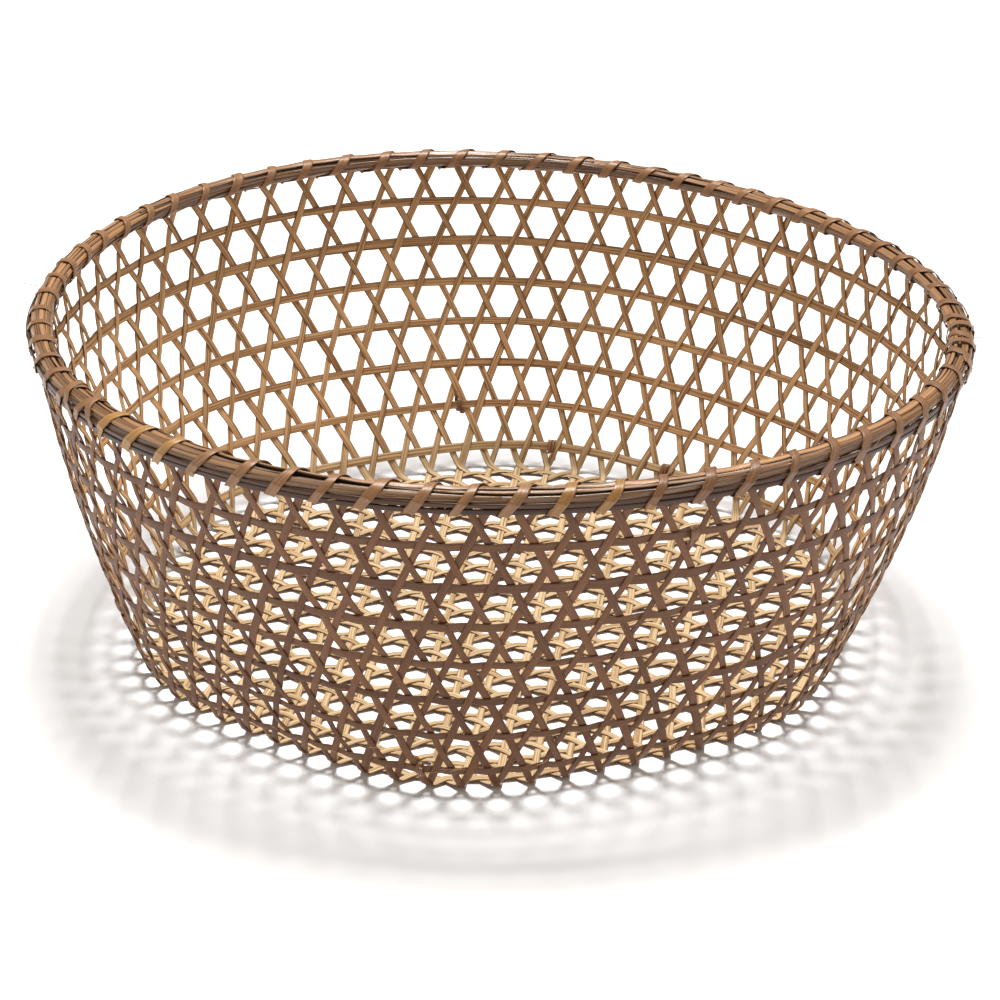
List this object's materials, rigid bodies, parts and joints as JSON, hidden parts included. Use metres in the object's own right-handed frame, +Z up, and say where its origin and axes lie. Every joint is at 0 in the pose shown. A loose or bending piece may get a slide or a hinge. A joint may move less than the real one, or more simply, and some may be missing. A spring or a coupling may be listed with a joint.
{
  "type": "woven basket",
  "caption": "Open hexagonal-plait bamboo basket: splint belts across a six-sided base and up flaring walls, ring weavers, and a bundled rim bound by a spiral lashing",
  "frame": {"origin": "centre of the bounding box in plan, on the plane the basket stands on", "axes": "+Z up through the open mouth, +X to the basket's right and -Y to its front as pictured"},
  "size_m": [0.4003, 0.3993, 0.1515],
  "materials": {
    "splint_bamboo": "satin",
    "ring_bamboo": "satin",
    "hoop_bamboo": "satin",
    "bundle_bamboo": "satin",
    "lashing_bamboo": "satin"
  },
  "bodies": {
    "root": {"splint_belt_1": "splint_bamboo", "splint_belt_2": "splint_bamboo", "splint_belt_3": "splint_bamboo", "splint_belt_4": "splint_bamboo", "splint_belt_5": "splint_bamboo", "splint_belt_6": "splint_bamboo", "ring_weaver_1": "ring_bamboo", "ring_weaver_2": "ring_bamboo", "ring_weaver_3": "ring_bamboo", "ring_weaver_4": "ring_bamboo", "ring_weaver_5": "ring_bamboo", "ring_weaver_6": "ring_bamboo", "ring_weaver_7": "ring_bamboo", "rim_outer_hoop": "hoop_bamboo", "rim_strip_1": "bundle_bamboo", "rim_strip_2": "bundle_bamboo", "rim_strip_3": "bundle_bamboo", "rim_strip_4": "bundle_bamboo", "rim_strip_5": "bundle_bamboo", "rim_strip_6": "bundle_bamboo", "rim_lashing": "lashing_bamboo"}
  },
  "joints": []
}
